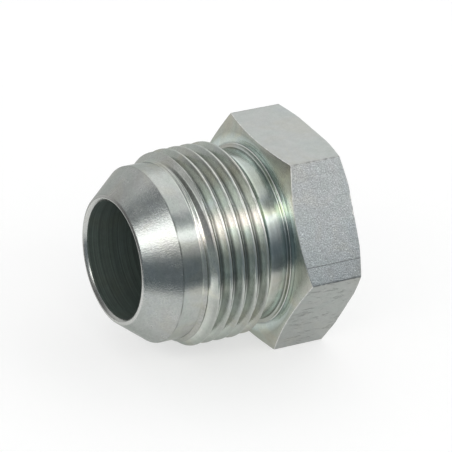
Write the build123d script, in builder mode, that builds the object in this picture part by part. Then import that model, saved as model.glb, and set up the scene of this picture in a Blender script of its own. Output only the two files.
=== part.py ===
# A 37 degree flare plug for a hydraulic port: one turned piece with a hexagon head, a relieved
# neck, a real helical thread, a plain land, a conical seat and a blind bore in the nose.
# Millimetres. The plug lies on one flat of its head, with the axis along X and the nose towards -X.
# The origin is on the surface that it lies on, under the middle of its length.
from math import floor, radians, sqrt, tan
import os

from build123d import *

# Seat and bore
nose_d = 19.64            # seat cone at the nose plane
seat_angle = 37.0         # seat surface to the axis
nose_break = 0.16         # small chamfer of the outer lip edge
bore_d = 18.0
bore_depth = 19.0         # full diameter
bore_point_angle = 118.0
mouth_bevel = 0.42

# Thread, 1 3/16 inch by 12 threads to the inch, right hand
thread_d = 29.97
pitch = 25.4 / 12
thread_length = 10.25     # foot of the lead chamfer to the edge of the relief
thread_angle = 60.0       # between the flanks
lead_chamfer_angle = 45.0
last_crest = 0.527        # under the top flat, back from the edge of the relief
crest_flat = pitch / 8
root_flat = pitch / 6

# Land before the thread and relieved neck behind it
land_d = 26.95
relief_length = 4.3       # edge of the relief to the head
neck_d = 26.5
relief_wall_angle = 60.0  # wall to the axis
relief_round = 0.8
neck_round = 6.0
ring_d = 27.6             # small raised ring where the neck meets the head
ring_step = 0.1

# Head
hex_af = 31.75
shank_length = 22.8       # nose to the front face of the head
head_length = 10.4
corner_round = 0.25
face_chamfer_angle = 20.5 # chamfer of the corners to the face
front_chamfer = 3.43      # width of the corner chamfers, measured along the face
rear_chamfer = 1.93

# Worked out from the sizes above
total_length = shank_length + head_length
nose_r = nose_d / 2
land_r = land_d / 2
thread_r = thread_d / 2
neck_r = neck_d / 2
ring_r = ring_d / 2
bore_r = bore_d / 2
seat_end = (land_r - nose_r) / tan(radians(seat_angle))
thread_end = shank_length - relief_length
thread_start = thread_end - thread_length
thread_phase = thread_end - last_crest
lead_end = thread_start + (thread_r - land_r) / tan(radians(lead_chamfer_angle))
relief_foot = thread_end + (thread_r - neck_r) / tan(radians(relief_wall_angle))
ring_station = shank_length - ring_step
neck_rise = ring_r - neck_r
neck_arc_start = ring_station - sqrt(neck_round**2 - (neck_round - neck_rise) ** 2)
bore_end = bore_depth + bore_r / tan(radians(bore_point_angle / 2))
hex_corner_r = hex_af / sqrt(3)
front_drop = front_chamfer * tan(radians(face_chamfer_angle))
rear_drop = rear_chamfer * tan(radians(face_chamfer_angle))

# Stations are measured from the nose along X. The profile plane is upright along the axis,
# and the cross plane looks along it with its own x axis straight up.
nose_centre = (-total_length / 2, 0, hex_af / 2)
plug_axis = Axis(nose_centre, (1, 0, 0))
profile_plane = Plane(origin=nose_centre, x_dir=(1, 0, 0), z_dir=(0, -1, 0))
cross_plane = Plane(origin=nose_centre, x_dir=(0, 0, 1), z_dir=(1, 0, 0))

# Groove section, in the helix's own frame: x outwards from the crest, y along the axis
crest_half = (pitch - crest_flat) / 2
root_half = root_flat / 2
groove_depth = (crest_half - root_half) / tan(radians(thread_angle / 2))
cutter_lift = 0.3         # how far the cutter stands out of the blank

# The groove starts clear of the lead chamfer, over the land, under a crest place of the top
# flat, and runs out in the open neck
groove_clear = thread_start - pitch / 2
groove_first = thread_phase + (floor((groove_clear - thread_phase) / pitch - 0.5) + 0.5) * pitch
groove_last = (relief_foot + neck_arc_start) / 2

with BuildPart() as plug:
    # Head: a hexagon with a flat on top, its long corners eased and both ends chamfered
    with BuildSketch(cross_plane.offset(shank_length)):
        RegularPolygon(hex_af / 2, 6, major_radius=False, rotation=30)
    extrude(amount=head_length)
    fillet(plug.edges().filter_by(Axis.X), corner_round)
    with BuildSketch(profile_plane):
        with BuildLine():
            Polyline(
                (shank_length, 0),
                (shank_length, hex_corner_r - front_chamfer),
                (shank_length + front_drop, hex_corner_r),
                (total_length - rear_drop, hex_corner_r),
                (total_length, hex_corner_r - rear_chamfer),
                (total_length, 0),
                close=True,
            )
        make_face()
    revolve(axis=plug_axis, mode=Mode.INTERSECT)

    # Shank: seat cone, land, thread blank with its lead chamfer, relief and ring
    with BuildSketch(profile_plane):
        with BuildLine():
            Polyline(
                (shank_length + ring_step, ring_r),
                (shank_length + ring_step, 0),
                (0, 0),
                (0, nose_r),
                (seat_end, land_r),
                (thread_start, land_r),
                (lead_end, thread_r),
                (thread_end, thread_r),
            )
            FilletPolyline(
                (thread_end, thread_r),
                (relief_foot, neck_r),
                (neck_arc_start, neck_r),
                radius=relief_round,
            )
            RadiusArc((neck_arc_start, neck_r), (ring_station, ring_r), neck_round)
            Line((ring_station, ring_r), (shank_length + ring_step, ring_r))
        make_face()
    revolve(axis=plug_axis)
    nose_edge = plug.edges().filter_by(GeomType.CIRCLE).sort_by(Axis.X)[0]
    chamfer(nose_edge, nose_break)

    # Blind bore with a drill point
    with BuildSketch(profile_plane):
        with BuildLine():
            Polyline(
                (0, 0),
                (0, bore_r + mouth_bevel),
                (mouth_bevel, bore_r),
                (bore_depth, bore_r),
                (bore_end, 0),
                close=True,
            )
        make_face()
    revolve(axis=plug_axis, mode=Mode.SUBTRACT)

    # Thread groove, swept along the helix from the land to the neck
    with BuildLine() as groove_path:
        Helix(
            pitch,
            groove_last - groove_first,
            thread_r,
            center=cross_plane.from_local_coords((0, 0, groove_first)),
            direction=plug_axis.direction,
        )
    groove_start = groove_path.line @ 0
    with BuildSketch(Plane(groove_start, x_dir=(0, 0, 1), z_dir=groove_path.line % 0)):
        with BuildLine():
            Polyline(
                (-groove_depth, -root_half),
                (0, -crest_half),
                (cutter_lift, -crest_half),
                (cutter_lift, crest_half),
                (0, crest_half),
                (-groove_depth, root_half),
                close=True,
            )
        make_face()
    sweep(path=groove_path.line, is_frenet=True, mode=Mode.SUBTRACT)

plug.part.label = "plug"
os.makedirs("parts", exist_ok=True)
export_step(plug.part, "parts/plug.step")
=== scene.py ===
# Looks for the hydraulic flare plug: camera, pale floor, soft studio light and plated steel.
# Metres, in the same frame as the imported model: nose towards -X, +Z up, z = 0 on the floor.
from collections import namedtuple
from math import cos, pi, radians, sin, tan

import bpy
import numpy as np
from mathutils import Matrix, Vector


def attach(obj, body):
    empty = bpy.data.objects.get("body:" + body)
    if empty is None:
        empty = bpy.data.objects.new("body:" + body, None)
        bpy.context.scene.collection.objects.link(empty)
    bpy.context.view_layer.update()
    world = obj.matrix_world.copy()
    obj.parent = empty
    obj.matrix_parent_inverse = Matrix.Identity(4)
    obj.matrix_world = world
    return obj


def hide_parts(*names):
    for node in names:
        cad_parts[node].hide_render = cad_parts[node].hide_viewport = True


MM = 0.001

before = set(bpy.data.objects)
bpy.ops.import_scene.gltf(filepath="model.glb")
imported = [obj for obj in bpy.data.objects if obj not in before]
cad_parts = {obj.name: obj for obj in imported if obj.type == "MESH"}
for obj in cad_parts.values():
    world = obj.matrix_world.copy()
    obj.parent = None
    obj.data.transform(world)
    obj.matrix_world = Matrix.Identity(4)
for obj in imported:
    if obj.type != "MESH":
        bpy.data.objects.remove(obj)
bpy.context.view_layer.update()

# Sizes of the plug, in millimetres and degrees: stations are from the nose, radii from the axis
NOSE_X = -16.6
AXIS_Z = 15.875
NOSE_R = 9.82
SEAT_ANGLE = 37           # seat to the axis
SEAT_END = 4.85
BORE_R = 9.0
BORE_TIP = 24.4           # point of the drill
DRILL_ANGLE = 59          # wall of the drill point to the axis
LAND_R = 13.475
PITCH = 25.4 / 12
FLANK_ANGLE = 60          # flank of the thread to the axis
THREAD_START = 8.25
LEAD_END = 9.76
THREAD_END = 18.5
THREAD_R = 14.985
THREAD_PHASE = 1.04       # station of a crest under the top flat
RELIEF_FOOT = 19.5
NECK_R = 13.25
HOLLOW_START = 22.44
RING_STATION = 22.7
RING_R = 13.8
HEAD_START = 22.8
HEAD_END = 33.2
HEX_FLAT = 15.875
CORNER_ROUND = 0.25
CHAMFER_ANGLE = 20.5      # both chamfers of the head, to its faces
FRONT_CHAMFER_R = 14.90
REAR_CHAMFER_R = 16.40
SCRIBE = -6.32            # scribed line, from the middle of the grainy flat
LINE_DEPTH = 0.045        # tool line between the seat and the land

# Grid of points: step along the thread and the range of stations that has it, and step round the
# plug in degrees
THREAD_STEP = 0.075
THREAD_RINGS = (8.07, 19.96)
COLUMN_STEP = 1.25

# Chips of the head's rear edge: angle from the top, half width in degrees, and depth
REAR_CHIPS = ((-49.5, 1.0, 2.2), (-53.0, 0.9, 1.2), (-58.2, 1.1, 2.4))


# Camera

def place_camera():
    data = bpy.data.cameras.new("camera")
    camera = bpy.data.objects.new("camera", data)
    bpy.context.scene.collection.objects.link(camera)
    data.sensor_width = 36.0
    data.lens = 291.3
    data.clip_start = 0.01
    data.clip_end = 20.0
    right = Vector((0.87192, -0.48440, 0.07150))
    up = Vector((0.17897, 0.45120, 0.87429))
    back = Vector((-0.45577, -0.74952, 0.48011))
    turn = Matrix((right, up, back)).transposed().to_4x4()
    spot = Vector((-249.177, -414.248, 283.131)) * MM
    camera.matrix_world = Matrix.Translation(spot) @ turn
    bpy.context.scene.camera = camera


# Shader nodes

class Tree:
    """Adds nodes to one node tree. A value is a number, a tuple or another node's output."""

    def __init__(self, owner):
        owner.use_nodes = True
        self.tree = owner.node_tree
        self.tree.nodes.clear()

    def fill(self, socket, value):
        if isinstance(value, bpy.types.NodeSocket):
            self.tree.links.new(value, socket)
        else:
            socket.default_value = value

    def add(self, kind, values=None, **settings):
        node = self.tree.nodes.new(kind)
        for name, value in settings.items():
            setattr(node, name, value)
        for key, value in (values or {}).items():
            self.fill(node.inputs[key], value)
        return node

    def math(self, operation, a, b=0.0):
        return self.add("ShaderNodeMath", {0: a, 1: b}, operation=operation).outputs[0]

    def product(self, first, *others):
        for other in others:
            first = self.math("MULTIPLY", first, other)
        return first

    def remap(self, value, low, high, to_low=0.0, to_high=1.0, smooth=True):
        """The value taken from one range to another, smoothly or straight, and kept in it."""
        kind = "SMOOTHSTEP" if smooth else "LINEAR"
        ends = {"Value": value, "From Min": low, "From Max": high}
        ends.update({"To Min": to_low, "To Max": to_high})
        return self.add("ShaderNodeMapRange", ends, interpolation_type=kind).outputs[0]

    def noise(self, vector, scale, detail=2.0, rough=0.5, distortion=0.0):
        values = {"Vector": vector, "Scale": scale, "Detail": detail, "Roughness": rough}
        values["Distortion"] = distortion
        return self.add("ShaderNodeTexNoise", values).outputs["Fac"]

    def mix(self, factor, a, b, blend="MIX"):
        node = self.add("ShaderNodeMix", data_type="RGBA", blend_type=blend)
        for key, value in ((0, factor), (6, a), (7, b)):
            self.fill(node.inputs[key], value)
        return node.outputs[2]

    def multiply(self, colour, other):
        return self.mix(1.0, colour, other, "MULTIPLY")

    def shade(self, colour, level):
        """The colour times one level for its three parts."""
        parts = self.add("ShaderNodeCombineColor", {0: level, 1: level, 2: level})
        return self.multiply(colour, parts.outputs[0])

    def ramp(self, factor, stops):
        node = self.add("ShaderNodeValToRGB", {0: factor})
        elements = node.color_ramp.elements
        while len(elements) < len(stops):
            elements.new(0.5)
        for element, (place, colour) in zip(elements, stops):
            element.position = place
            element.color = colour
        return node.outputs[0]

    def attribute(self, name):
        return self.add("ShaderNodeAttribute", attribute_name=name).outputs["Fac"]


def rgb(red, green, blue):
    return (red, green, blue, 1.0)


# Studio

def unit(azimuth, elevation):
    """Direction: azimuth from -Y towards +X, elevation up from the floor, in degrees."""
    a, e = radians(azimuth), radians(elevation)
    return Vector((sin(a) * cos(e), -cos(a) * cos(e), sin(e)))


def grid_faces(rows, columns):
    """Quads between the points of a grid, which has one more of each than the counts."""
    quads = []
    for j in range(rows):
        for i in range(columns):
            a = j * (columns + 1) + i
            quads.append((a, a + 1, a + columns + 2, a + columns + 1))
    return quads


def make_floor():
    mesh = bpy.data.meshes.new("floor")
    half = 2.0
    corners = [(-half, -half, 0), (half, -half, 0), (half, half, 0), (-half, half, 0)]
    mesh.from_pydata(corners, [], [(0, 1, 2, 3)])
    floor = bpy.data.objects.new("floor", mesh)
    bpy.context.scene.collection.objects.link(floor)
    material = bpy.data.materials.new("floor")
    t = Tree(material)
    lit = t.add("ShaderNodeBsdfDiffuse", {"Color": rgb(0.46, 0.46, 0.46)})
    glow = t.add("ShaderNodeEmission", {"Color": rgb(1, 1, 1), "Strength": 0.56})
    both = t.add("ShaderNodeAddShader", {0: lit.outputs[0], 1: glow.outputs[0]})
    t.add("ShaderNodeOutputMaterial", {"Surface": both.outputs[0]})
    mesh.materials.append(material)


def panel_material(name, outline, soft):
    """Light of a panel, from side to side as the outline says, clear at its soft edges."""
    azimuths, lows, highs, lights = zip(*outline)
    width = azimuths[-1] - azimuths[0]
    height = np.mean(highs) - np.mean(lows)
    side, below, above = soft
    material = bpy.data.materials.new(name)
    t = Tree(material)
    place = t.add("ShaderNodeUVMap", uv_map="place").outputs[0]
    across, up, _ = t.add("ShaderNodeSeparateXYZ", {0: place}).outputs
    mask = t.product(
        t.remap(up, 0.0, below / height),
        t.remap(up, 1.0, 1.0 - above / height),
        t.remap(across, 0.0, side / width),
        t.remap(across, 1.0, 1.0 - side / width),
    )
    peak = max(max(light) for light in lights)
    stops = []
    for azimuth, light in zip(azimuths, lights):
        stops.append(((azimuth - azimuths[0]) / width, rgb(*[part / peak for part in light])))
    glow = t.add("ShaderNodeEmission", {"Color": t.ramp(across, stops), "Strength": peak})
    clear = t.add("ShaderNodeBsdfTransparent", {"Color": rgb(1, 1, 1)})
    both = t.add("ShaderNodeMixShader", {0: mask, 1: clear.outputs[0], 2: glow.outputs[0]})
    t.add("ShaderNodeOutputMaterial", {"Surface": both.outputs[0]})
    return material


def make_panel(name, outline, distance, soft, lights=True):
    """A soft panel of the studio: a patch of a sphere round the plug. The outline is a row of
    (azimuth, lower edge, upper edge, light), and soft is how wide the side, lower and upper edges
    fade into what is behind them, all in degrees. A panel that doesn't light the floor is one for
    the reflections alone."""
    columns, rows = 60, 24
    azimuths, lows, highs, _ = zip(*outline)
    points, spots = [], []
    centre = Vector((0, 0, AXIS_Z * MM))
    for j in range(rows + 1):
        for i in range(columns + 1):
            u, v = i / columns, j / rows
            azimuth = azimuths[0] + u * (azimuths[-1] - azimuths[0])
            bottom = np.interp(azimuth, azimuths, lows)
            top = np.interp(azimuth, azimuths, highs)
            points.append(centre + unit(azimuth, bottom + v * (top - bottom)) * distance)
            spots.append((u, v))
    mesh = bpy.data.meshes.new(name)
    mesh.from_pydata(points, [], grid_faces(rows, columns))
    layer = mesh.uv_layers.new(name="place")
    for loop in mesh.loops:
        layer.data[loop.index].uv = spots[loop.vertex_index]
    mesh.materials.append(panel_material(name, outline, soft))
    panel = bpy.data.objects.new(name, mesh)
    bpy.context.scene.collection.objects.link(panel)
    panel.visible_camera = False
    if not lights:
        panel.visible_diffuse = False
        panel.visible_shadow = False


def grey(level, blue=0.0):
    """Light of a panel, a little bluer where blue is over 0."""
    return (level * (1 - blue), level, level * (1 + blue))


def make_studio():
    scene = bpy.context.scene
    scene.view_settings.view_transform = "Standard"
    world = bpy.data.worlds.new("studio")
    scene.world = world
    t = Tree(world)
    white = t.add("ShaderNodeBackground", {"Color": rgb(1, 1, 1), "Strength": 1.0})
    t.add("ShaderNodeOutputWorld", {"Surface": white.outputs[0]})
    make_floor()

    # One long softbox over the camera, and the dark studio round it
    softbox = (
        (-92, 41, 50, grey(1.6)), (-79, 36, 48.5, grey(3.2)), (-68, 26, 47, grey(3.4)),
        (-60, 19, 48, grey(3.4)), (-34, 38, 57, (2.0, 2.0, 1.7)), (-4, 41, 57, (1.9, 1.9, 1.65)),
        (30, 31, 48.5, grey(2.2)), (42, 31, 46.5, grey(2.6)), (54, 29, 49, grey(2.8)),
        (66, 26, 46, grey(2.8)),
    )
    ceiling = ((-180, 64, 90, grey(0.40, 0.04)), (180, 64, 90, grey(0.40, 0.04)))
    rim = (
        (-156, 44, 68, grey(0.28, 0.06)), (-60, 44, 76, grey(0.28, 0.06)),
        (30, 46, 76, grey(0.32, 0.06)), (66, 46, 76, grey(0.55, 0.06)),
    )
    overhead = ((58, 20, 70, grey(1.32)), (120, 18, 66, grey(1.30)), (176, 16, 56, grey(1.25)))
    make_panel("softbox", softbox, distance=0.65, soft=(9, 5, 5))
    make_panel("ceiling", ceiling, distance=0.90, soft=(0.1, 9, 0.1))
    make_panel("softbox_rim", rim, distance=0.75, soft=(12, 3, 10))
    make_panel("overhead", overhead, distance=0.80, soft=(16, 12, 6))

    # Cards close to the plug
    dark = (0.18, 0.21, 0.23)
    front = (
        (-90, -22, 28, dark), (-72, -22, 24, dark), (-54, -22, 24, dark), (-32, -24, 43, dark),
        (0, -28, 44, dark), (28, -30, 32, dark), (60, -30, 32, dark),
    )
    back = (
        (146, -24, 46, grey(0.95)), (190, -24, 46, grey(0.90)), (222, -24, 46, grey(0.58)),
        (234, -24, 45, grey(0.30)), (246, -24, 44, grey(0.15)), (262, -24, 43, grey(0.15)),
        (276, -24, 36, grey(0.20)), (292, -24, 23, grey(0.22)),
    )
    make_panel("front_card", front, distance=0.052, soft=(14, 8, 22), lights=False)
    make_panel("back_card", back, distance=0.055, soft=(14, 6, 9), lights=False)


# Plated steel

# Tints of the passivation, for each part of a slow noise
NATURAL_TINTS = (
    (0.30, (0.93, 0.975, 1.0)), (0.42, (0.95, 1.0, 0.96)), (0.52, (0.99, 1.0, 0.99)),
    (0.62, (1.0, 0.995, 0.92)), (0.72, (1.0, 0.955, 0.95)),
)

# Painted reflections: tints round the neck and tints outwards over the face, which stand in for
# their light and dark reflections, as (place, colour). Places round the axis are in turns, with 0.5
# on top
NECK_REFLECTION_TINTS = (
    (0.10, (1.08, 1.09, 1.05)), (0.16, (1.08, 1.10, 1.06)), (0.195, (0.98, 1.02, 0.96)),
    (0.245, (0.90, 0.88, 0.83)), (0.29, (0.93, 0.99, 1.03)), (0.325, (0.82, 0.87, 0.91)),
    (0.346, (0.98, 1.03, 1.0)), (0.360, (1.02, 1.03, 0.88)), (0.376, (1.0, 1.03, 0.93)),
    (0.396, (0.94, 1.01, 1.01)), (0.42, (0.86, 0.90, 0.82)), (0.465, (0.94, 1.0, 0.98)),
    (0.52, (1.07, 1.11, 1.11)), (0.545, (1.07, 1.09, 1.09)), (0.58, (0.98, 0.97, 0.94)),
)
FACE_REFLECTION_TINTS = (
    (0.0, (0.94, 1.0, 1.01)), (0.34, (0.94, 1.01, 1.0)), (0.55, (1.01, 1.03, 0.95)),
    (0.9, (1.02, 1.0, 0.93)),
)

# Painted reflections: light and dark levels round the thread, as (place, level), and the part of it
# with the warm tint of a painted highlight
THREAD_REFLECTION_LEVELS = (
    (0.139, 0.78), (0.18, 0.75), (0.222, 0.70), (0.25, 0.88), (0.275, 1.28), (0.306, 1.17),
    (0.333, 1.26), (0.356, 1.34), (0.372, 1.32), (0.389, 1.28), (0.417, 1.12), (0.444, 0.95),
    (0.472, 0.81), (0.528, 0.85), (0.583, 0.88), (0.667, 0.82),
)
THREAD_WARM_HIGHLIGHT = (0.34, 0.38)


def station_sockets(t):
    """Place on the plug in millimetres: station from the nose, y, height over the axis,
    distance from the axis and angle round it in turns, from the top towards +Y."""
    place = t.add("ShaderNodeTexCoord").outputs["Object"]
    scaled = t.add("ShaderNodeVectorMath", {0: place, 3: 1 / MM}, operation="SCALE").outputs[0]
    x, y, z = t.add("ShaderNodeSeparateXYZ", {0: scaled}).outputs
    station = t.math("SUBTRACT", x, NOSE_X)
    height = t.math("SUBTRACT", z, AXIS_Z)
    reach = t.math("SQRT", t.math("ADD", t.product(y, y), t.product(height, height)))
    angle = t.math("DIVIDE", t.math("ARCTAN2", y, height), 2 * pi)
    return scaled, station, y, height, reach, angle


def clouds(t, value, stops, tint):
    """A tint for each (place, colour) along the value, drawn towards white by a tint under 1."""
    drawn = []
    for spot, colour in stops:
        drawn.append((spot, rgb(*[1 + (part - 1) * tint for part in colour])))
    return t.ramp(value, drawn)


def scribed_line(t, y, height, mottle):
    """One uneven line along the flat that looks to -Y and up, near its lower edge."""
    along_flat = t.math("ADD", t.product(y, 0.5), t.product(height, 0.866))
    uneven = t.product(t.math("SUBTRACT", mottle, 0.5), 0.12)
    off = t.math("ABSOLUTE", t.math("SUBTRACT", t.math("ADD", along_flat, uneven), SCRIBE))
    this_side = t.remap(y, 0.0, -1.0)
    return t.product(t.remap(off, 0.10, 0.05), this_side, t.remap(mottle, 0.30, 0.55, 0.5, 1.0))


def scratches(t, place):
    """Short scratches and pits, in patches."""
    along = t.add("ShaderNodeMapping", {0: place, 2: (0.5, 0.3, 0.5), 3: (0.45, 1.6, 1.6)})
    cuts = t.noise(along.outputs[0], scale=1.3, detail=3.0, rough=0.55, distortion=0.8)
    patches = t.noise(place, scale=0.45, detail=1.0)
    return t.product(t.remap(cuts, 0.56, 0.64), t.remap(patches, 0.40, 0.54))


def zinc(name, base, rough, grain=0.0, grain_size=0.25, tint=0.5, rings=0.0, burrs=0.6, reflection_bands=None,
         reflection_rims=None, specks=0.05, sparkle=0.0, foot=1.0, pits=0.0, scribe=False, metal=1.0,
         worn=(0.62, 0.62, 0.60)):
    """Clear passivated zinc plate.

    base: its grey, and rough: its gloss
    grain: depth of the frosting in mm, and grain_size: its scale
    tint: how strong the yellow, green, blue and pink patches are
    rings: depth of the turning marks in mm
    burrs: how broken the worn edges are, and worn: their colour
    bands and rims: painted reflections, as tints round the axis in (place, colour), and outwards
    from it
    specks: how much the grains differ, and sparkle: how bright single ones are
    foot: how much lighter the surface is painted low down, which is painted light
    pits: depth of the scratches in mm
    scribe: whether the surface has the scribed line
    metal: 1 for metal, and less for the oiled dark of the bore
    """
    material = bpy.data.materials.new(name)
    t = Tree(material)
    place, station, y, height, reach, angle = station_sockets(t)
    hue = t.noise(place, scale=0.16, detail=3.0, rough=0.55, distortion=0.6)
    mottle = t.noise(place, scale=0.9, detail=4.0, rough=0.6)
    fine = t.noise(place, scale=1.0 / grain_size, detail=2.0, rough=0.6)
    hue_off = t.math("SUBTRACT", hue, 0.5)

    # Cloudy tint of the passivation
    colour = t.multiply(rgb(*base), clouds(t, hue, NATURAL_TINTS, tint))
    # Painted reflections: tints round the axis and outwards over the face
    if reflection_bands:
        turn = t.math("ADD", t.math("ADD", angle, 0.5), t.product(hue_off, 0.08))
        colour = t.multiply(colour, clouds(t, turn, reflection_bands, 1.0))
    if reflection_rims:
        spread = t.math("ADD", reach, t.product(hue_off, 1.6))
        outward = t.remap(spread, RING_R, 17.0, smooth=False)
        colour = t.multiply(colour, clouds(t, outward, reflection_rims, 1.0))

    # Lighter and darker mottling, and grains
    shade = t.remap(mottle, 0.3, 0.7, 0.92, 1.06, smooth=False)
    speck = t.remap(fine, 0.3, 0.7, 1 - specks, 1 + specks, smooth=False)
    level = t.product(shade, speck)
    if sparkle:
        grains = t.noise(place, scale=1.4 / grain_size, detail=1.0)
        level = t.product(level, t.remap(grains, 0.62, 0.74, 1.0, 1 + sparkle))
    # Painted light: lighter low down
    if foot != 1.0:
        level = t.product(level, t.remap(height, 1.0, 14.0, foot, 1.0, smooth=False))
    if rings:
        lines = {0: station, 1: reach, 2: t.product(angle, 0.35)}
        lines = t.add("ShaderNodeCombineXYZ", lines).outputs[0]
        turned = t.noise(lines, scale=5.0, detail=2.0, rough=0.6)
        level = t.product(level, t.remap(turned, 0.3, 0.7, 1 - 8 * rings, 1 + 8 * rings))
    colour = t.shade(colour, level)

    # Painted light, burnished edges with painted glints broken by small burrs, and darkening that
    # is painted shade in corners and recesses with some dirt, and the scratches and scribed line
    dark = t.attribute("dirt")
    broken = t.remap(t.noise(place, scale=2.4, detail=3.0, rough=0.7), 0.36, 0.62, 1 - burrs, 1.0)
    if pits:
        scar = scratches(t, place)
        dark = t.math("MAXIMUM", dark, t.product(scar, 0.5))
    if scribe:
        dark = t.math("MAXIMUM", dark, t.product(scribed_line(t, y, height, mottle), 0.8))
    # Painted light, up to half as light again
    colour = t.shade(colour, t.remap(t.attribute("pale"), 0.0, 1.0, 1.0, 1.5, smooth=False))
    # Burnished edges and painted glints, in the worn colour
    colour = t.mix(t.product(t.attribute("wear"), broken), colour, rgb(*worn))
    # Painted shade with some dirt, the scratches and the scribed line, towards near black
    colour = t.mix(t.product(dark, 0.7), colour, rgb(0.085, 0.085, 0.080))

    # Relief: turning marks or scratches, with the frosting over them
    relief = []
    if rings:
        relief.append((turned, rings))
    if pits:
        relief.append((scar, -pits))
    if grain:
        relief.append((fine, grain))
    values = {"Base Color": colour, "Metallic": metal, "Specular Tint": rgb(0.62, 0.64, 0.62)}
    values["Roughness"] = t.remap(mottle, 0.3, 0.7, rough * 0.88, rough * 1.15, smooth=False)
    for bumps, depth in relief:
        raised = {"Height": bumps, "Distance": depth * MM, "Strength": 1.0}
        if "Normal" in values:
            raised["Normal"] = values["Normal"]
        values["Normal"] = t.add("ShaderNodeBump", raised).outputs[0]
    shader = t.add("ShaderNodeBsdfPrincipled", values)
    t.add("ShaderNodeOutputMaterial", {"Surface": shader.outputs[0]})
    return material


def make_finishes():
    """The finish of each zone of the plug."""
    # Painted reflections round the thread, warmer where its painted highlight falls
    thread_reflection_bands = []
    for spot, level in THREAD_REFLECTION_LEVELS:
        warm = 0.06 if THREAD_WARM_HIGHLIGHT[0] < spot < THREAD_WARM_HIGHLIGHT[1] else 0.0
        thread_reflection_bands.append((spot, (level * (1 + warm), level * (1 - warm / 3), level)))
    return {
        "bore": zinc("zinc_bore", (0.104, 0.128, 0.118), 0.5, tint=0.8, rings=0.03, metal=0.25),
        "lip": zinc("zinc_lip", (0.520, 0.530, 0.520), 0.26, grain=0.004, burrs=0.3),
        "seat": zinc(
            "zinc_seat", (0.440, 0.450, 0.440), 0.25, grain=0.020, grain_size=0.26, tint=0.6,
            specks=0.08
        ),
        "land": zinc(
            "zinc_land", (0.450, 0.465, 0.450), 0.23, grain=0.007, grain_size=0.30, tint=0.8
        ),
        "thread": zinc(
            "zinc_thread", (0.560, 0.575, 0.545), 0.23, grain=0.006, tint=0.9, burrs=0.75,
            reflection_bands=thread_reflection_bands, worn=(0.66, 0.66, 0.64)
        ),
        "neck": zinc("zinc_neck", (0.450, 0.460, 0.445), 0.21, reflection_bands=NECK_REFLECTION_TINTS),
        "ring": zinc("zinc_ring", (0.580, 0.590, 0.575), 0.22, burrs=0.1),
        "face": zinc(
            "zinc_face", (0.470, 0.480, 0.470), 0.20, tint=0.8, rings=0.002, reflection_rims=FACE_REFLECTION_TINTS
        ),
        "edge": zinc(
            "zinc_edge", (0.470, 0.475, 0.465), 0.30, burrs=0.9, worn=(0.80, 0.80, 0.78)
        ),
        "smooth_flat": zinc(
            "zinc_smooth_flat", (0.455, 0.465, 0.460), 0.32, grain=0.010, tint=0.6
        ),
        "grainy_flat": zinc(
            "zinc_grainy_flat", (0.400, 0.412, 0.420), 0.34, grain=0.045, grain_size=0.21,
            tint=0.6, specks=0.24, sparkle=0.7, foot=1.42, scribe=True
        ),
        "pitted_flat": zinc(
            "zinc_pitted_flat", (0.430, 0.440, 0.430), 0.34, grain=0.014, pits=0.05
        ),
        "rear": zinc(
            "zinc_rear", (0.440, 0.455, 0.440), 0.26, grain=0.006, tint=0.8, rings=0.006
        ),
    }


# Shapes

def eased(x, knots, ease):
    """Straight runs through the (x, y) knots. Each inner knot is rounded over its own half width
    in ease, in x."""
    xs, ys = np.array(knots).T
    y = np.interp(x, xs, ys)
    slopes = np.diff(ys) / np.diff(xs)
    for spot, before, after, half in zip(xs[1:-1], slopes, slopes[1:], ease):
        near = np.clip(1 - np.abs(x - spot) / half, 0, 1)
        y = y + (after - before) * half * near**2 / 4
    return y


def smooth_min(a, b, width):
    """The lower of two values, rounded where they are less than the width apart."""
    near = np.clip(width - np.abs(a - b), 0, None)
    return np.minimum(a, b) - near**2 / (4 * width)


def clip01(value):
    """The value, kept between 0 and 1."""
    return np.clip(value, 0, 1)


def window(angle, edges, levels=(0, 1, 1, 0)):
    """Straight runs round the plug through a level at each edge. The edges are in degrees from
    the top, under 0 on the side of the camera."""
    return np.interp(np.degrees(angle), edges, levels)


def waver(angle, seed, lowest, highest):
    """A fixed wavy value round the plug, between about -1 and 1, the sum of sines that have from
    the lowest to the highest number of waves a turn."""
    rng = np.random.default_rng(seed)
    sines = 14
    total = np.zeros_like(angle)
    for _ in range(sines):
        total += np.sin(angle * rng.integers(lowest, highest + 1) + rng.uniform(0, 2 * pi))
    return total / sines**0.5 / 1.4


def thread_blank(station):
    """Radius of the turned blank from the land to the neck."""
    knots = (
        (SEAT_END, LAND_R), (THREAD_START, LAND_R), (LEAD_END, THREAD_R),
        (THREAD_END, THREAD_R), (RELIEF_FOOT, NECK_R), (HOLLOW_START, NECK_R),
    )
    return eased(station, knots, ease=(0.10, 0.06, 0.06, 0.36))


def thread_groove(station, angle):
    """Radius of the helical groove, how far the point is past the last crest along the axis, and
    the number of the nearest crest."""
    along = station + PITCH * angle / (2 * pi) - THREAD_PHASE
    past = along % PITCH
    away = np.minimum(past, PITCH - past)
    crest = PITCH / 16
    root = PITCH / 2 - PITCH / 12
    bottom = THREAD_R - (root - crest) * tan(radians(FLANK_ANGLE))
    knots = ((-1, THREAD_R), (crest, THREAD_R), (root, bottom), (PITCH, bottom))
    return eased(away, knots, ease=(0.06, 0.14)), past, np.round(along / PITCH)


def thread_radius(station, angle):
    """Radius of the finished thread. The rear edge of each crest is rounder than the front one."""
    groove, past, _ = thread_groove(station, angle)
    width = np.interp(past, (0, 0.13, 0.6, 0.9), (0.05, 0.13, 0.13, 0.05))
    return smooth_min(thread_blank(station), groove, width)


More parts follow.
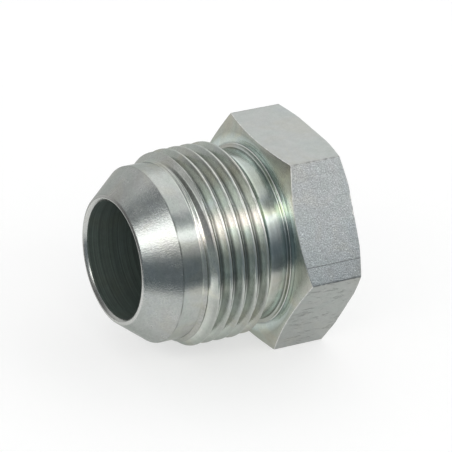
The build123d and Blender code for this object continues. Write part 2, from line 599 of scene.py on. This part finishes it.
def hex_radius(angle):
    """Distance from the axis to the side of the hexagon, with its long corners rounded, and the
    angle from the nearest corner."""
    off = (angle + pi / 6) % (pi / 3)
    from_flat = np.abs(off - pi / 6)
    from_corner = pi / 6 - from_flat
    middle = (HEX_FLAT - CORNER_ROUND) / cos(pi / 6)
    touch = np.arctan2(CORNER_ROUND / 2, middle + CORNER_ROUND * cos(pi / 6))
    inside = np.clip(CORNER_ROUND**2 - (middle * np.sin(from_corner)) ** 2, 0, None)
    rounded = middle * np.cos(from_corner) + np.sqrt(inside)
    side = np.where(from_corner < touch, rounded, HEX_FLAT / np.cos(from_flat))
    return side, from_corner


def plug_columns():
    """Angles round the plug: even steps, with more beside each long corner of the hexagon."""
    step = radians(COLUMN_STEP)
    angles = list(np.arange(-pi, pi - step / 2, step))
    for corner in range(6):
        for off in (-0.75, -0.42, -0.26, -0.13, 0.13, 0.26, 0.42, 0.75):
            angles.append(-pi + pi / 6 + corner * pi / 3 + radians(off))
    return np.array(sorted(angles))


# Rings of points, from the drill point out over the lip and back along the outside. The finish is
# that of the faces before the ring. Three values, all 0 to 1, go with each point: burnished edges
# with painted glints on them, darkening that is painted shade with some dirt, and lightening that
# is painted light

Ring = namedtuple("Ring", "station radius wear dirt pale finish")


def ring(angle, station, radius, finish, wear=0.0, dirt=0.0, pale=0.0):
    """One ring of points. Each value is a number or has one for each angle."""
    one = np.ones_like(angle)
    return Ring(station * one, radius * one, wear * one, dirt * one, pale * one, finish)


def bore_rings(angle):
    slope = tan(radians(DRILL_ANGLE))
    rings = []
    for radius in (0.4, 3.0, 6.0, 8.6, 8.95):
        rings.append(ring(angle, BORE_TIP - radius / slope, radius, "bore"))
    foot = BORE_TIP - BORE_R / slope - 0.06
    for station in (foot, 18.6, 16.0, 13.0, 10.0, 7.5, 5.0, 3.0, 1.5, 0.7, 0.47):
        rings.append(ring(angle, station, BORE_R, "bore"))
    return rings


def lip_rings(angle):
    """Mouth bevel, nose plane and the small outer chamfer, all eased and slightly nicked."""
    nick = 0.03 * np.clip(waver(angle, seed=3, lowest=6, highest=40) - 0.5, 0, None)
    # The lip's edges are burnished and carry painted glints
    return [
        ring(angle, 0.40, BORE_R + 0.02, "lip", wear=0.3),
        ring(angle, 0.06, 9.36, "lip", wear=0.5),
        ring(angle, 0.015 + nick, 9.42, "lip", wear=1.0),
        ring(angle, 0.0, 9.47, "lip", wear=0.8),
        ring(angle, 0.0, 9.60, "lip", wear=0.6),
        ring(angle, 0.012 + nick, 9.66, "lip", wear=0.9),
        ring(angle, 0.05 + nick, 9.74, "lip", wear=1.0),
        ring(angle, 0.115, 9.875, "lip", wear=0.7),
    ]


def seat_rings(angle):
    """Seat cone and land, with the uneven tool line where they meet, darkened with painted shade.
    """
    rise = tan(radians(SEAT_ANGLE))
    rings = []
    for station in (0.16, 0.22, 0.6, 1.2, 1.8, 2.4, 3.0, 3.6, 4.2, 4.6, 4.74):
        rings.append(ring(angle, station, NOSE_R + station * rise, "seat"))
    # The line is deepest and darkest on the camera's side; its dark is painted shade in the crease
    shown = window(angle, (-125, -100, -55, -40), (0.3, 1, 1, 0.3))
    uneven = np.clip(0.75 + waver(angle, seed=8, lowest=4, highest=30), 0.1, 1.2)
    line = uneven * shown
    depth = LINE_DEPTH * line
    rings.append(ring(angle, 4.79, NOSE_R + 4.79 * rise, "seat", dirt=0.3))
    rings.append(ring(angle, 4.83, LAND_R - 0.004 - 0.3 * depth, "seat", dirt=0.9 * line))
    rings.append(ring(angle, 4.865, LAND_R - depth, "land", dirt=line))
    rings.append(ring(angle, 4.91, LAND_R - 0.35 * depth, "land", dirt=0.8 * line))
    rings.append(ring(angle, 4.97, LAND_R, "land", dirt=0.1))
    for station in (5.1, 5.6, 6.3, 7.0, 7.6, 7.9, 8.0):
        rings.append(ring(angle, station, LAND_R, "land"))
    return rings


def thread_rings(angle):
    """Rings over the thread and the relief behind it, which the helical edges cross."""
    # Windows round the plug, mostly on the camera's side, for painted shade in the roots, painted
    # light in the hollows, and painted shade on the lead, the first groove and the first crest
    root_shade_window = window(angle, (-98, -88, -50, -38), (0.1, 1, 0.9, 0.2))
    painted_light_window = window(angle, (-108, -96, -40, -30), (2, 1, 1, 0))
    upper = window(angle, (-46, -36, -16, -8))
    middle = window(angle, (-64, -54, -40, -34))
    lower = window(angle, (-92, -85, -62, -55))
    rings = []
    for station in np.arange(*THREAD_RINGS, THREAD_STEP):
        on_lead = 8.3 < station < LEAD_END + 0.1
        first_groove = 8.3 < station < 9.6
        first_crest = 9.45 < station < 9.95
        relief_wall = 18.6 < station < 19.2
        groove, past, number = thread_groove(station, angle)
        away = np.minimum(past, PITCH - past)
        blank = thread_blank(station)
        cut = clip01((blank - groove) / 0.1)

        # Edges of the crests: burred, worn and with painted glints, and less so in front; the
        # lead's edge gets painted glints too
        full = clip01((blank - THREAD_R + 0.25) / 0.2)
        rim = np.exp(-(((blank - groove) / 0.05) ** 2)) * full
        burr = 0.008 * waver(angle + 2.39 * number, seed=21, lowest=20, highest=90)
        radius = thread_radius(station, angle) + burr * rim - 0.008 * rim
        lead = clip01((groove - blank - 0.02) / 0.1) * on_lead
        wear = np.maximum(0.8 * rim * np.where(past < PITCH / 2, 1.0, 0.35), 0.45 * lead)

        # Painted shade, with a little dirt, in the roots, in the first groove, on the lead chamfer
        # and on the first crest, and painted light in the hollows and on the relief behind the
        # thread
        root = np.interp(past, (0.94, 1.08, 1.34, 1.52), (0, 1, 1, 0)) * (station > 9.6)
        dirt = (0.08 * clip01((away - 0.35) / 0.5) + (0.20 + 0.8 * root_shade_window) * root) * cut
        if first_groove:
            open_side = np.interp(past, (0.45, 0.65, 1.2, 1.35), (0, 1, 1, 0))
            dirt = np.maximum(dirt, 0.7 * lower * cut * open_side)
        pale = 0.5 * clip01((away - 0.35) / 0.4) * cut * painted_light_window * (1 - root_shade_window * root)
        # Painted shade on the relief wall outside the painted light
        if relief_wall:
            dirt, pale = 0.65 * clip01(1 - painted_light_window), painted_light_window
        elif station > THREAD_END:
            pale = 1.0 if station < 19.7 else 0.5
        lead_dirt_and_shade = 0.25 + 0.45 * np.maximum(upper * (station > 8.75), middle * (station > 9.45))
        edge = 0.55 * middle * first_crest * (away < 0.3)
        dirt = np.maximum(np.maximum(dirt, lead_dirt_and_shade * lead), edge)
        finish = "thread" if station < 18.9 else "neck"
        rings.append(ring(angle, station, radius, finish, wear, dirt, pale))
    return rings


def neck_rings(angle):
    """Neck, its small hollow up to the ring, and the ring, with painted light and painted shade on
    them.
    """
    # Where a painted highlight and two spots of painted shade go round the neck
    lit = window(angle, (-57, -51, -34, -24))
    lower = window(angle, (-74, -66, -53, -50))
    higher = window(angle, (-52, -49, -42, -38))
    rings = []
    for station in (20.03, 20.3, 20.6, 20.95, 21.3, 21.6, 21.85, 22.03, 22.16, 22.3, HOLLOW_START):
        ends = (20.0, 20.3, 21.0, 21.3, 21.85, 22.2)
        # Painted light along the neck, and painted shade by the hollow and in the two spots
        light = np.interp(station, ends, (0.5, 0.0, 0.0, 0.3, 0.9, 0.0))
        foot = 0.2 * clip01((station - 22.15) / 0.2) * (1 - 0.8 * lit)
        rear_shade_spot = 0.5 * lower * np.interp(station, (20.95, 21.3, 21.85, 22.1), (0, 1, 1, 0))
        front_shade_spot = 0.4 * higher * np.interp(station, (20.3, 20.6, 20.95, 21.3), (0, 0.6, 1, 0))
        dirt = np.maximum(np.maximum(foot, rear_shade_spot), front_shade_spot)
        pale = np.maximum(light, lit * (station > 22))
        rings.append(ring(angle, station, NECK_R, "neck", dirt=dirt, pale=pale))
    steps = 10
    for k in range(1, steps + 1):
        turn = pi / 2 * k / steps
        station = HOLLOW_START + (RING_STATION - HOLLOW_START) * sin(turn)
        radius = RING_R - (RING_R - NECK_R) * cos(turn)
        # Painted shade in the hollow, and a painted highlight where lit
        dirt = 0.2 * clip01(1 - 2 * k / steps) * (1 - 0.8 * lit)
        rings.append(ring(angle, station, radius, "neck", dirt=dirt, pale=lit))
    # The ring's edge: burnished, with a painted glint
    for back, out in ((0.03, 0.035), (0.06, 0.060), (0.085, 0.075)):
        rings.append(ring(angle, RING_STATION + back, RING_R + out, "ring", wear=0.3))
    return rings


def face_rings(angle, worn):
    """Front face of the head and its corner chamfer, up to the worn edge, with painted light and
    shade.
    """
    side, _ = hex_radius(angle)
    slope = tan(radians(CHAMFER_ANGLE))
    ease = 0.35
    bend = FRONT_CHAMFER_R + ease
    # A painted highlight where lit, painted shade where under, and painted light where over
    lit = window(angle, (-57, -51, -46, -40))
    under = window(angle, (-156, -140, -82, -72, -36, -28, 40, 50), (0, 1, 1, 0, 0, 0.4, 0.5, 0))
    over = window(angle, (-40, -32, 0, 10))
    # The face next to the ring is painted lighter
    rings = [
        ring(angle, HEAD_START, RING_R + 0.09, "ring"),
        ring(angle, HEAD_START, RING_R + 0.14, "face"),
        ring(angle, HEAD_START, 14.2, "face", pale=1.0),
        ring(angle, HEAD_START, FRONT_CHAMFER_R - ease, "face", pale=1.0),
    ]
    for part in (0.25, 0.5, 0.75, 1.0):
        station = HEAD_START + part**2 * ease * slope
        radius = FRONT_CHAMFER_R + ease * (2 * part - 1)
        dirt = 0.3 * part * under
        pale = np.maximum(1 - 0.6 * part, lit)
        rings.append(ring(angle, station, radius, "face", dirt=dirt, pale=pale))
    last = side - worn
    for part in (0.2, 0.4, 0.6, 0.8, 0.96):
        radius = bend + part * (last - bend)
        station = HEAD_START + (radius - FRONT_CHAMFER_R) * slope
        dirt = 0.36 * clip01(1.3 - 1.3 * part) * under
        pale = np.maximum(lit * (1 - part), 0.4 * over * part)
        rings.append(ring(angle, station, radius, "face", dirt=dirt, pale=pale))
    return rings


def head_rings(angle):
    """The head: front face, sides with a few shallow dents along the rear edge, and rear face."""
    side, from_corner = hex_radius(angle)
    slope = tan(radians(CHAMFER_ANGLE))
    front_nick = np.clip(waver(angle, seed=5, lowest=30, highest=120) - 0.35, 0, 0.8)
    front_worn = 0.07 + 0.08 * front_nick
    front = HEAD_START + (side - FRONT_CHAMFER_R) * slope
    dent = np.clip(waver(angle, seed=12, lowest=15, highest=70) - 0.55, 0, 0.8)
    for middle, wide, deep in REAR_CHIPS:
        chip = deep * np.exp(-(((np.degrees(angle) - middle) / wide) ** 2))
        dent = np.maximum(dent, chip)
    rear_worn = 0.08 + 0.12 * dent
    rear = HEAD_END - np.clip(side - REAR_CHAMFER_R, 0, None) * slope
    seam = np.exp(-((from_corner / radians(0.5)) ** 2))

    # Front face, its chamfer and the worn edge between the chamfer and the sides
    rings = face_rings(angle, front_worn)
    rings.append(ring(angle, front - front_worn * slope, side - front_worn, "face", wear=0.5))
    rings.append(ring(angle, front + 0.1 * front_worn, side - 0.25 * front_worn, "edge", wear=1.0))
    rings.append(ring(angle, front + 0.9 * front_worn, side, "edge", wear=0.6))

    # Sides, with a broken dark line along each corner
    start = front + 0.9 * front_worn
    end = rear - rear_worn
    for part in (0.004, 0.02, *(0.02 + 0.96 * np.arange(1, 20) / 19), 0.996):
        station = start + part * (end - start)
        dash = 0.75 + 0.6 * waver(station + angle, seed=31, lowest=5, highest=40)
        dash = np.clip(dash, 0.3, 1)
        wear = 0.8 * (1 - dash) * seam
        rings.append(ring(angle, station, side, "flat", wear=wear, dirt=0.95 * dash * seam))

    # Dented rear edge, rear chamfer and rear face
    rings.append(ring(angle, end, side, "flat", wear=0.5 + 0.5 * clip01(dent), dirt=0.9 * seam))
    dented = side - 0.06 - 0.05 * dent
    rings.append(ring(angle, rear - 0.25 * rear_worn, dented, "edge", wear=1.0))
    outer = side - 0.12 - 0.05 * dent
    inner = np.minimum(REAR_CHAMFER_R, side - 0.12) - 0.06
    for part in (0.0, 0.3, 0.6, 0.95):
        radius = outer + part * (inner - outer)
        station = HEAD_END - np.clip(radius - REAR_CHAMFER_R, 0, None) * slope
        finish, wear = ("rear", 0.0) if part else ("edge", 0.6)
        rings.append(ring(angle, station, radius, finish, wear=wear))
    for radius in (15.5, 15.4, 12.0, 8.0, 4.0, 0.5):
        rings.append(ring(angle, HEAD_END, radius, "rear"))
    return rings


# Mesh of the plug

def zone_of(finish, angle):
    """Finish of a face, the sides of the hexagon by which way they look."""
    if finish != "flat":
        return finish
    sector = int(((angle + pi / 6) % (2 * pi)) // (pi / 3))
    return ("smooth_flat", "pitted_flat", "grainy_flat")[sector % 3]


def plug_faces(rings, angle):
    """Quads between the rings and fans over both ends, with the zone of each face. The two tips
    come after the points of the rings."""
    count, width = len(rings), len(angle)
    faces, zones = [], []
    middle = angle + np.diff(np.append(angle, angle[0] + 2 * pi)) / 2
    for j in range(count - 1):
        for i in range(width):
            k = (i + 1) % width
            a, b = j * width, (j + 1) * width
            faces.append((a + i, b + i, b + k, a + k))
            zones.append(zone_of(rings[j + 1].finish, middle[i]))
    last = (count - 1) * width
    for i in range(width):
        k = (i + 1) % width
        faces.append((count * width, i, k))
        zones.append("bore")
        faces.append((last + i, count * width + 1, last + k))
        zones.append("rear")
    return faces, zones


def thread_normal(station, angle):
    """Normal of the thread at each angle, from its formula."""
    small = 0.01
    ahead = thread_radius(station + small, angle) - thread_radius(station - small, angle)
    turn = small / THREAD_R
    around = thread_radius(station, angle + turn) - thread_radius(station, angle - turn)
    out = np.stack([0 * angle, np.sin(angle), np.cos(angle)], axis=-1)
    side = np.stack([0 * angle, np.cos(angle), -np.sin(angle)], axis=-1)
    normal = out - side * (around / (2 * small))[:, None]
    normal[:, 0] -= ahead / (2 * small)
    return normal / np.linalg.norm(normal, axis=1)[:, None]


def make_plug(finishes):
    angle = plug_columns()
    rings = bore_rings(angle) + lip_rings(angle) + seat_rings(angle)
    rings += thread_rings(angle) + neck_rings(angle) + head_rings(angle)
    station = np.array([row.station for row in rings])
    radius = np.array([row.radius for row in rings])
    x = station + NOSE_X
    y = radius * np.sin(angle)
    z = radius * np.cos(angle) + AXIS_Z
    points = np.stack([x, y, z], axis=-1).reshape(-1, 3)
    bore_tip = (BORE_TIP + NOSE_X, 0.0, AXIS_Z)
    rear_tip = (HEAD_END + NOSE_X, 0.0, AXIS_Z)
    points = np.vstack([points, [bore_tip, rear_tip]]) * MM
    faces, zones = plug_faces(rings, angle)

    mesh = bpy.data.meshes.new("plug_body")
    mesh.from_pydata(points.tolist(), [], faces)
    names = list(finishes)
    for name in names:
        mesh.materials.append(finishes[name])
    mesh.polygons.foreach_set("material_index", [names.index(zone) for zone in zones])
    mesh.polygons.foreach_set("use_smooth", [True] * len(faces))
    # Burnish with painted glints, painted shade with some dirt, and painted light, for each point
    for key in ("wear", "dirt", "pale"):
        values = np.array([getattr(row, key) for row in rings]).ravel()
        values = clip01(np.append(values, [0.0, 0.0])).astype(np.float32)
        mesh.attributes.new(key, "FLOAT", "POINT").data.foreach_set("value", values)
    mesh.update()

    # The thread is a fine grid that its helical edges cross, so its normals come from its formula
    normals = np.zeros((len(points), 3), np.float32)
    mesh.vertices.foreach_get("normal", normals.ravel())
    width = len(angle)
    for j, row in enumerate(rings):
        if 8.05 < row.station[0] < 19.9 and row.finish in ("thread", "neck"):
            normals[j * width:(j + 1) * width] = thread_normal(row.station[0], angle)
    mesh.normals_split_custom_set_from_vertices(normals.tolist())

    body = bpy.data.objects.new("plug_body", mesh)
    bpy.context.scene.collection.objects.link(body)
    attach(body, "root")
    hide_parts("plug")


place_camera()
make_studio()
make_plug(make_finishes())
